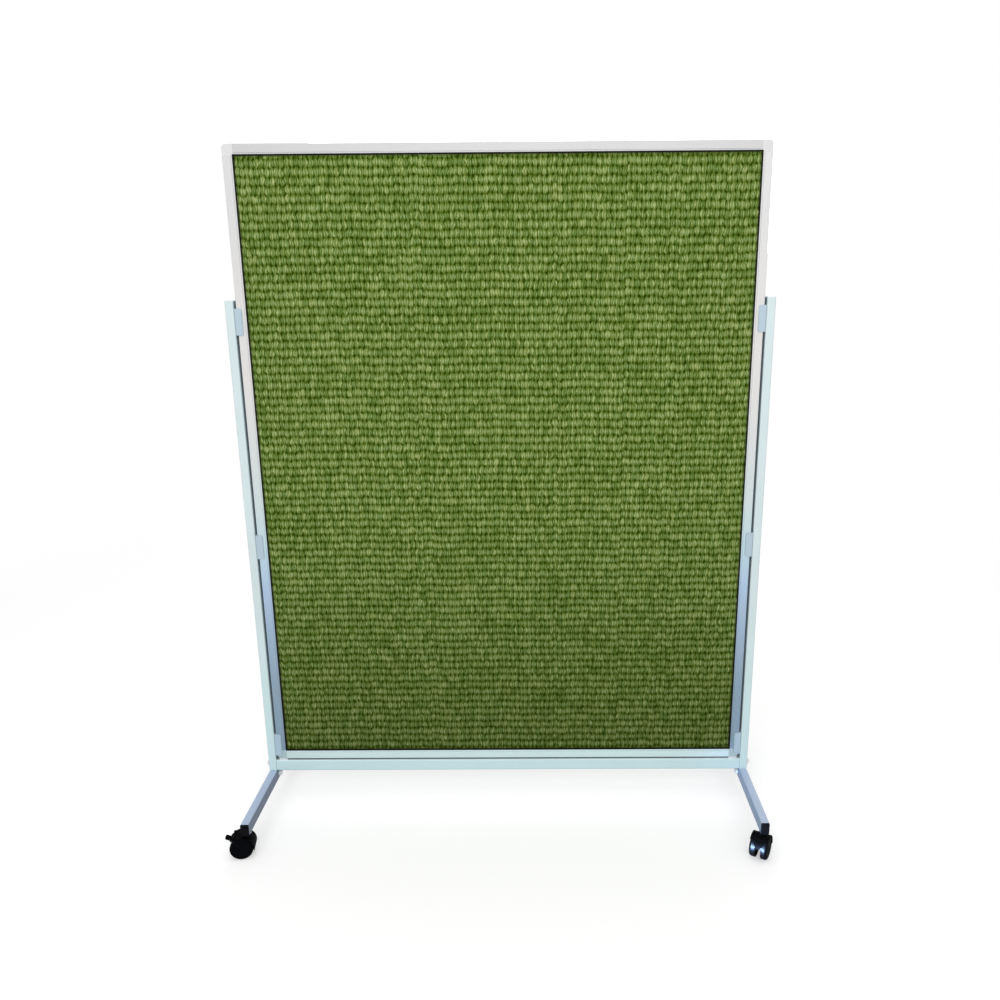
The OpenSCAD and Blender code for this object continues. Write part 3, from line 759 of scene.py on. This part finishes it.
@dataclass
class WeaveRelief:
    """A node tree that makes one stretched cloth with the ribs and floats of its weave."""

    relief: float = 0.6 * MM
    lift: float = 0.1 * MM
    hem: float = 12.8 * MM
    hem_rise: float = 4.0 * MM
    steps: int = 3
    seed: float = 4.0
    coordinates: str = "weave"

    def build(self, name: str) -> bpy.types.NodeTree:
        """Builds the tree.

        Args:
            name: The tree's name.

        Returns:
            A geometry tree with the inputs Width, Height, Columns, Rows, Relief, Hem and Finish.
        """
        tree = bpy.data.node_groups.new(name, "GeometryNodeTree")
        for label, kind in (
            ("Width", "NodeSocketFloat"),
            ("Height", "NodeSocketFloat"),
            ("Columns", "NodeSocketInt"),
            ("Rows", "NodeSocketInt"),
            ("Relief", "NodeSocketFloat"),
            ("Hem", "NodeSocketFloat"),
            ("Finish", "NodeSocketMaterial"),
        ):
            tree.interface.new_socket(label, in_out="INPUT", socket_type=kind)
        tree.interface.new_socket("Geometry", in_out="OUTPUT", socket_type="NodeSocketGeometry")
        self._wire(tree)
        return tree

    def _wire(self, tree: bpy.types.NodeTree) -> None:
        """Adds the tree's nodes: a grid, its coordinates, its relief and its finish."""
        outputs = add_node(tree, "NodeGroupInput").outputs
        given = {socket.name: Value(tree, socket) for socket in outputs if socket.name}
        grid = add_node(
            tree,
            "GeometryNodeMeshGrid",
            {
                "Size X": given["Width"],
                "Size Y": given["Height"],
                "Vertices X": given["Columns"] * float(self.steps) + 1.0,
                "Vertices Y": given["Rows"] * float(self.steps) + 1.0,
            },
        )
        position = add_node(tree, "GeometryNodeInputPosition")
        split = add_node(tree, "ShaderNodeSeparateXYZ", {0: Value(tree, position.outputs[0])})
        x, y = Value(tree, split.outputs["X"]), Value(tree, split.outputs["Y"])
        column = (x / given["Width"] + 0.5) * given["Columns"]
        row = (y / given["Height"] + 0.5) * given["Rows"]
        counted = add_node(tree, "ShaderNodeCombineXYZ", {"X": column, "Y": row})
        stored = add_node(
            tree,
            "GeometryNodeStoreNamedAttribute",
            {
                "Geometry": Value(tree, grid.outputs["Mesh"]),
                "Name": self.coordinates,
                "Value": Value(tree, counted.outputs[0]),
            },
            {"data_type": "FLOAT2", "domain": "CORNER"},
        )
        rise = self._rise(tree, given, x, y, column, row)
        offset = add_node(tree, "ShaderNodeCombineXYZ", {"Z": rise})
        moved = add_node(
            tree,
            "GeometryNodeSetPosition",
            {"Geometry": Value(tree, stored.outputs[0]), "Offset": Value(tree, offset.outputs[0])},
        )
        whole = add_node(tree, "GeometryNodeRealizeInstances", {0: Value(tree, moved.outputs[0])})
        dressed = add_node(
            tree,
            "GeometryNodeSetMaterial",
            {"Geometry": Value(tree, whole.outputs[0]), "Material": given["Finish"]},
        )
        add_node(tree, "NodeGroupOutput", {"Geometry": Value(tree, dressed.outputs[0])})

    def _rise(
        self,
        tree: bpy.types.NodeTree,
        given: Mapping[str, Value],
        x: Value,
        y: Value,
        column: Value,
        row: Value,
    ) -> Value:
        """Returns how far each point stands out of the hem's plane.

        Args:
            tree: The tree.
            given: The tree's inputs.
            x: The place across the cloth.
            y: The place up the cloth.
            column: The place counted in floats.
            row: The place counted in rows.
        """
        cell = add_node(
            tree,
            "ShaderNodeCombineXYZ",
            {"X": (column - 0.01).floor(), "Y": (row - 0.01).floor(), "Z": self.seed},
        )
        dice = add_node(tree, "ShaderNodeTexWhiteNoise", {0: Value(tree, cell.outputs[0])})
        uneven = Value(tree, dice.outputs["Value"]) * 0.3 + 0.8
        lump = row.arch(1.3) * (column.arch() * 0.55 + 0.45) * uneven
        inset = (given["Width"] * 0.5 - x.absolute()).lesser(given["Height"] * 0.5 - y.absolute())
        field_share = ((inset - given["Hem"]) / self.hem_rise).step(0.0, 1.0)
        return field_share * (lump * given["Relief"] + self.lift)


@dataclass
class ClothFace:
    """One clothed face of the pinboard, stretched flat and pressed down round its edge."""

    face: Face
    node: str
    name: str
    columns: int = 108
    rows: int = 79
    pressed: float = 0.3 * MM
    relief: WeaveRelief = field(default_factory=WeaveRelief)

    def make(self) -> bpy.types.Object:
        """Makes the sheet in place of its plain slab.

        Returns:
            The finished piece, riding on the stand.
        """
        low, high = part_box(self.node)
        width, height = high.x - low.x, high.z - low.z
        finish = RibCloth("green_rib_cloth", self.relief.coordinates, self.columns, self.rows)
        piece = bpy.data.objects.new(self.name, bpy.data.meshes.new(self.name))
        bpy.context.scene.collection.objects.link(piece)
        modifier = piece.modifiers.new("weave", "NODES")
        modifier.node_group = self.relief.build(f"{self.name}_relief")
        wanted = {
            "Width": width,
            "Height": height,
            "Columns": self.columns,
            "Rows": self.rows,
            "Relief": self.relief.relief,
            "Hem": self.relief.hem,
            "Finish": finish.material(),
        }
        for item in modifier.node_group.interface.items_tree:
            if item.in_out == "INPUT":
                modifier[item.identifier] = wanted[item.name]
        mesh = self._plain_mesh(piece)
        piece.modifiers.clear()
        piece.data = self._stood_up(mesh, low, high)
        mesh.materials.clear()
        mesh.materials.append(finish.material())
        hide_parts(self.node)
        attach(piece, STAND)
        LOG.info("%s: %d faces", self.name, len(mesh.polygons))
        return piece

    @staticmethod
    def _plain_mesh(piece: bpy.types.Object) -> bpy.types.Mesh:
        """Returns what the piece's modifier makes, as a plain mesh."""
        bpy.context.view_layer.update()
        graph = bpy.context.evaluated_depsgraph_get()
        return bpy.data.meshes.new_from_object(piece.evaluated_get(graph))

    def _stood_up(self, mesh: bpy.types.Mesh, low: Vector, high: Vector) -> bpy.types.Mesh:
        """Closes the cloth's back and stands it in the slab's place.

        Args:
            mesh: The relief, lying with its face up.
            low: The slab's lowest corner.
            high: The slab's highest corner.

        Returns:
            The same mesh, closed and in place.
        """
        thickness = high.y - low.y - self.pressed
        work = bmesh.new()
        work.from_mesh(mesh)
        edge = [e for e in work.edges if e.is_boundary]
        skirt = bmesh.ops.extrude_edge_only(work, edges=edge)["geom"]
        hem = [v for v in skirt if isinstance(v, bmesh.types.BMVert)]
        bmesh.ops.translate(work, verts=hem, vec=(0.0, 0.0, -thickness))
        rim = [e for e in skirt if isinstance(e, bmesh.types.BMEdge) and e.is_boundary]
        bmesh.ops.edgeloop_fill(work, edges=rim)
        bmesh.ops.recalc_face_normals(work, faces=work.faces[:])
        turn = Matrix.Rotation(math.pi / 2, 4, "X")
        outer = low.y + self.pressed
        if self.face is Face.BACK:
            turn = Matrix.Rotation(math.pi, 4, "Z") @ turn
            outer = high.y - self.pressed
        place = Matrix.Translation((0.0, outer, (low.z + high.z) / 2))
        bmesh.ops.transform(work, matrix=place @ turn, verts=work.verts[:])
        for part in work.faces:
            part.material_index = 0
            part.smooth = True
        self._sort_by_vertices(work)
        work.to_mesh(mesh)
        work.free()
        return mesh

    @staticmethod
    def _sort_by_vertices(work: bmesh.types.BMesh) -> None:
        """Sorts the edges and faces by their vertices, so that every run gives the same mesh.

        The extrusion leaves the ones it makes in an order that changes from run to run.

        Args:
            work: The closed cloth.
        """
        work.verts.index_update()
        for parts in (work.edges, work.faces):
            in_order = sorted(parts, key=lambda part: sorted(v.index for v in part.verts))
            place = {part: count for count, part in enumerate(in_order)}
            parts.sort(key=place.get)


# ---------------------------------------------------------------- the sub-assemblies


class SubAssembly(ABC):
    """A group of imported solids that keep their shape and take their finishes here."""

    @abstractmethod
    def finishes(self) -> Iterable[tuple[Finish, Sequence[str]]]:
        """Returns each finish with the names of the nodes that take it."""

    def dress(self) -> None:
        """Gives each node its finish."""
        for finish, names in self.finishes():
            for name in names:
                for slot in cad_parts[name].material_slots:
                    slot.material = finish.material()
                LOG.info("%s: %s", name, finish.name)


@dataclass
class Panel(SubAssembly):
    """The pinboard: frame, corner pieces, board, gaskets and the two cloths."""

    # Painted light and shade: the frame's tones by height, bluer low down and, on the stiles,
    # darker near the foot
    rail_tones: Tones = ((0.3, (0.625, 0.8, 0.81)), (1.4, (0.487, 0.483, 0.48)))
    stile_tones: Tones = (
        (0.15, (0.2, 0.305, 0.415)),
        (0.32, (0.21, 0.315, 0.415)),
        (0.45, (0.283, 0.4, 0.535)),
        (0.6, (0.39, 0.53, 0.72)),
        (0.7, (0.49, 0.66, 0.735)),
        (0.82, (0.6, 0.69, 0.69)),
        (1.1, (0.69, 0.667, 0.65)),
        (1.5, (0.585, 0.58, 0.575)),
    )
    cloths: tuple[ClothFace, ...] = (
        ClothFace(Face.FRONT, "front_fabric", "front_cloth"),
        ClothFace(Face.BACK, "back_fabric", "back_cloth"),
    )

    def finishes(self) -> Iterable[tuple[Finish, Sequence[str]]]:
        """Returns the panel's finishes."""
        # Painted shade: the lower corner pieces take the same plastic as the upper ones in a
        # darker, bluer tone
        upper = MouldedPlastic("upper_corner", (0.68, 0.68, 0.68), (0.63, 0.64, 0.65), gloss=0.2)
        lower = MouldedPlastic("shaded_lower_corner", (0.43, 0.56, 0.59), (0.4, 0.52, 0.55), gloss=0.2)
        return (
            (
                AnodisedAluminium("anodised_rail", Grain.ALONG_X, self.rail_tones),
                ("top_rail", "bottom_rail"),
            ),
            (
                AnodisedAluminium("anodised_stile", Grain.ALONG_Z, self.stile_tones),
                ("left_stile", "right_stile"),
            ),
            (upper, ("top_left_corner", "top_right_corner")),
            (lower, ("bottom_left_corner", "bottom_right_corner")),
            (Softboard(), ("pinboard_core",)),
            (GasketRubber(), ("front_gasket", "back_gasket")),
        )

    def clothe(self) -> None:
        """Stretches a cloth over each face."""
        for cloth in self.cloths:
            cloth.make()


@dataclass
class Stand(SubAssembly):
    """The uprights, crossbar, legs and clips, with their caps and fasteners."""

    sides: tuple[str, ...] = ("left", "right")
    clip_places: tuple[str, ...] = ("upper", "middle", "lower")
    ends: tuple[str, ...] = ("front", "rear")

    def finishes(self) -> Iterable[tuple[Finish, Sequence[str]]]:
        """Returns the stand's finishes."""
        # Painted light and shade: the tubes' tones change with height and with the way each face
        # looks
        tubes = PowderCoat(
            "tube_powder_coat",
            high=(0.66, 0.77, 0.78),
            low=(0.6, 0.8, 0.83),
            top=(0.64, 0.75, 0.77),
            left_side=(0.56, 0.67, 0.69),
            right_side=(0.54, 0.65, 0.67),
            under=(0.3, 0.38, 0.41),
        )
        # Painted shade: the legs take the white coat in darker blue tones, and each leg has its own
        # copy whose inner side is shaded, the left leg's much darker, as if lit from the left
        shaded_leg_tones = {
            "high": (0.36, 0.42, 0.56),
            "low": (0.36, 0.42, 0.56),
            "top": (0.41, 0.5, 0.67),
            "under": (0.14, 0.18, 0.26),
        }
        outer = (0.34, 0.43, 0.6)
        left_leg = PowderCoat(
            "left_leg_coat", left_side=outer, right_side=(0.12, 0.16, 0.25), **shaded_leg_tones
        )
        right_leg = PowderCoat(
            "right_leg_coat", left_side=(0.21, 0.32, 0.52), right_side=outer, **shaded_leg_tones
        )
        # Painted shade: the clips take the white coat in darker, bluer tones than the tubes
        clips = PowderCoat(
            "clip_powder_coat",
            high=(0.46, 0.57, 0.65),
            low=(0.42, 0.57, 0.68),
            top=(0.58, 0.66, 0.72),
            left_side=(0.4, 0.51, 0.6),
            right_side=(0.38, 0.49, 0.58),
            under=(0.26, 0.34, 0.4),
        )
        white = MouldedPlastic("white_moulding", (0.74, 0.79, 0.81), (0.64, 0.68, 0.7), gloss=0.3)
        black = MouldedPlastic(
            "black_plug", (0.003, 0.003, 0.004), (0.008, 0.008, 0.01), gloss=0.04
        )
        return (
            (tubes, ("crossbar", *(f"{side}_upright" for side in self.sides))),
            (left_leg, ("left_leg",)),
            (right_leg, ("right_leg",)),
            (clips, [f"{s}_{place}_clip" for s in self.sides for place in self.clip_places]),
            (white, ("bolt_domes", "panel_rests", *(f"{s}_upright_cap" for s in self.sides))),
            (black, [f"{side}_{end}_plug" for side in self.sides for end in self.ends]),
            (
                ZincPlate(),
                (
                    "clip_screws",
                    "crossbar_inserts",
                    "crossbar_bolts",
                    "foot_bolts",
                    "foot_nuts",
                    "caster_sockets",
                    "caster_stems",
                    *(f"{side}_foot_joiner" for side in self.sides),
                ),
            ),
        )


class Corner(Enum):
    """Where a caster stands."""

    FRONT_LEFT = "front_left"
    FRONT_RIGHT = "front_right"
    REAR_LEFT = "rear_left"
    REAR_RIGHT = "rear_right"


@dataclass
class Caster(SubAssembly):
    """One twin-wheel caster: fork, axle, two wheels and, where it has one, its brake pedal."""

    corner: Corner
    braked: bool = False

    def finishes(self) -> Iterable[tuple[Finish, Sequence[str]]]:
        """Returns the caster's finishes."""
        nylon = MouldedPlastic(
            "fork_nylon",
            (0.0025, 0.0025, 0.003),
            (0.008, 0.008, 0.009),
            roughness=0.5,
            gloss=0.01,
        )
        name = self.corner.value
        tread = WheelNylon(f"{name}_wheel_nylon", self._axle_line())
        moulded = [f"{name}_fork"] + [f"{name}_brake_pedal"] * self.braked
        return (
            (nylon, moulded),
            (tread, (f"{name}_wheel_a", f"{name}_wheel_b")),
            (ZincPlate(), (f"{name}_axle",)),
        )

    def _axle_line(self) -> tuple[float, float, float]:
        """Returns the direction from one wheel's middle to the other's."""
        (low_a, high_a), (low_b, high_b) = (
            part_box(f"{self.corner.value}_wheel_{wheel}") for wheel in "ab"
        )
        return tuple((low_b + high_b - low_a - high_a).normalized())


# ---------------------------------------------------------------- camera and studio


@dataclass
class PhotoCamera:
    """The camera of the photograph, as fitted to the panel, the uprights and the leg ends."""

    place: tuple[float, float, float] = (0.0884, -1.9675, 1.3444)
    pitch: float = math.radians(14.480)
    yaw: float = math.radians(-0.375)
    roll: float = math.radians(-0.432)
    focal: float = 0.8419
    centre: tuple[float, float] = (0.53453, 0.49283)
    sensor: float = 36.0
    sees_as_far_as: float = 60.0

    def make(self) -> bpy.types.Object:
        """Makes the camera and hands it to the scene.

        Returns:
            The camera's object.
        """
        ahead = Vector(
            (
                math.sin(self.yaw) * math.cos(self.pitch),
                math.cos(self.yaw) * math.cos(self.pitch),
                -math.sin(self.pitch),
            )
        )
        level = Vector((math.cos(self.yaw), -math.sin(self.yaw), 0.0))
        rise = level.cross(ahead)
        across = level * math.cos(self.roll) + rise * math.sin(self.roll)
        upwards = rise * math.cos(self.roll) - level * math.sin(self.roll)
        lens = bpy.data.cameras.new("photo_camera")
        lens.sensor_width = self.sensor
        lens.sensor_fit = "HORIZONTAL"
        lens.lens = self.focal * self.sensor
        lens.shift_x = 0.5 - self.centre[0]
        lens.shift_y = self.centre[1] - 0.5
        lens.clip_end = self.sees_as_far_as
        camera = bpy.data.objects.new("photo_camera", lens)
        turn = Matrix((across, upwards, -ahead)).transposed().to_4x4()
        camera.matrix_world = Matrix.Translation(self.place) @ turn
        bpy.context.scene.collection.objects.link(camera)
        bpy.context.scene.camera = camera
        return camera


@dataclass(frozen=True)
class Lamp:
    """A rectangular lamp; one that is only reflected lights nothing and shows in gloss."""

    name: str
    place: tuple[float, float, float]
    target: tuple[float, float, float]
    size: tuple[float, float]
    power: float
    colour: Colour = WHITE
    spread: float = math.pi
    only_reflected: bool = False

    def make(self) -> bpy.types.Object:
        """Makes the lamp and returns its object."""
        light = bpy.data.lights.new(self.name, "AREA")
        light.shape = "RECTANGLE"
        light.size, light.size_y = self.size
        light.energy = self.power
        light.color = self.colour
        light.spread = self.spread
        lamp = bpy.data.objects.new(self.name, light)
        lamp.location = self.place
        aim = Vector(self.target) - Vector(self.place)
        lamp.rotation_euler = aim.to_track_quat("-Z", "Y").to_euler()
        lamp.visible_diffuse = lamp.visible_camera = not self.only_reflected
        bpy.context.scene.collection.objects.link(lamp)
        return lamp


@dataclass
class Studio:
    """A white floor that fades into a white world, with three soft boxes and a blue card."""

    floor_radius: float = 3.6
    floor_fade: float = 2.2
    floor_rim: float = 0.1
    floor_sides: int = 96
    floor_colour: Colour = (0.62, 0.62, 0.62)
    floor_glow: float = 0.42
    world_strength: float = 0.52
    lamps: tuple[Lamp, ...] = (
        Lamp("front_box", (0.1, -3.1, 2.2), (0.0, 0.0, 1.0), (3.4, 1.8), 58.0),
        Lamp("overhead_box", (-0.3, -0.6, 4.2), (0.0, 0.0, 0.6), (3.0, 3.0), 56.0),
        Lamp("rear_box", (0.3, 3.6, 2.4), (0.0, 0.0, 0.9), (3.4, 2.0), 52.0),
        Lamp(
            "blue_card",
            (0.35, -0.52, 0.052),
            (0.61, -0.22, 0.03),
            (0.4, 0.085),
            7.0,
            colour=(0.36, 0.56, 1.0),
            spread=math.radians(28.0),
            only_reflected=True,
        ),
    )

    def make(self) -> None:
        """Makes the world, the floor and the lamps."""
        self._world()
        self._floor()
        for lamp in self.lamps:
            lamp.make()
        bpy.context.scene.view_settings.view_transform = "Standard"

    def _world(self) -> None:
        """Makes a plain world that lights evenly and is white to the eye and in reflections."""
        world = bpy.data.worlds.new("white_studio")
        world.use_nodes = True
        tree = world.node_tree
        tree.nodes.clear()
        seen = self._seen_directly(tree)
        strength = seen * (1.0 - self.world_strength) + self.world_strength
        values = {"Color": (*WHITE, 1.0), "Strength": strength}
        background = add_node(tree, "ShaderNodeBackground", values)
        add_node(tree, "ShaderNodeOutputWorld", {"Surface": Value(tree, background.outputs[0])})
        bpy.context.scene.world = world

    @staticmethod
    def _seen_directly(tree: bpy.types.NodeTree) -> Value:
        """Returns 1 for rays of the camera, of gloss and through glass, and 0 for others."""
        rays = add_node(tree, "ShaderNodeLightPath").outputs
        kinds = ("Is Camera Ray", "Is Glossy Ray", "Is Transmission Ray")
        first, *others = (Value(tree, rays[kind]) for kind in kinds)
        for other in others:
            first = first + other
        return first.lesser(1.0)

    def _floor(self) -> None:
        """Makes a round floor at the wheels' level."""
        mesh = bpy.data.meshes.new("floor")
        work = bmesh.new()
        bmesh.ops.create_circle(
            work, cap_ends=True, segments=self.floor_sides, radius=self.floor_radius
        )
        work.to_mesh(mesh)
        work.free()
        floor = bpy.data.objects.new("floor", mesh)
        bpy.context.scene.collection.objects.link(floor)
        mesh.materials.append(self._floor_material())
        floor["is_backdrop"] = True

    def _floor_material(self) -> bpy.types.Material:
        """Returns a white floor that keeps shadows and clears away towards its rim."""
        sheet = Sheet("studio_floor")
        x, y, _ = sheet.axes()
        far = ((x * x + y * y) ** 0.5).step(
            self.floor_radius - self.floor_fade, self.floor_radius - self.floor_rim
        )
        matt = sheet.node(
            "ShaderNodeBsdfDiffuse", values={"Color": (*self.floor_colour, 1.0)}
        )
        glow = sheet.node(
            "ShaderNodeEmission",
            values={"Strength": self._seen_directly(sheet.tree) * self.floor_glow},
        )
        white = sheet.node("ShaderNodeAddShader", values={0: matt, 1: glow})
        clear = sheet.node("ShaderNodeBsdfTransparent")
        surface = sheet.node("ShaderNodeMixShader", values={0: far, 1: white, 2: clear})
        sheet.node("ShaderNodeOutputMaterial", values={"Surface": surface})
        return sheet.material


# ---------------------------------------------------------------- the whole scene


def plain_box(corners: Any) -> Any:
    if hasattr(corners, "__len__") and not isinstance(corners, str):
        return [plain_box(part) for part in corners]
    return float(corners)


def main() -> None:
    """Builds the camera, the studio and every sub-assembly."""
    logging.basicConfig(level=logging.INFO, format="%(message)s")
    solid_box = plain_box(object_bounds())
    PhotoCamera().make()
    Studio().make()
    panel = Panel()
    panel.dress()
    panel.clothe()
    Stand().dress()
    for corner in Corner:
        Caster(corner, braked=corner in (Corner.FRONT_LEFT, Corner.REAR_RIGHT)).dress()
    {"solids": solid_box, "scene": plain_box(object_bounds())}


if __name__ == "__main__":
    main()
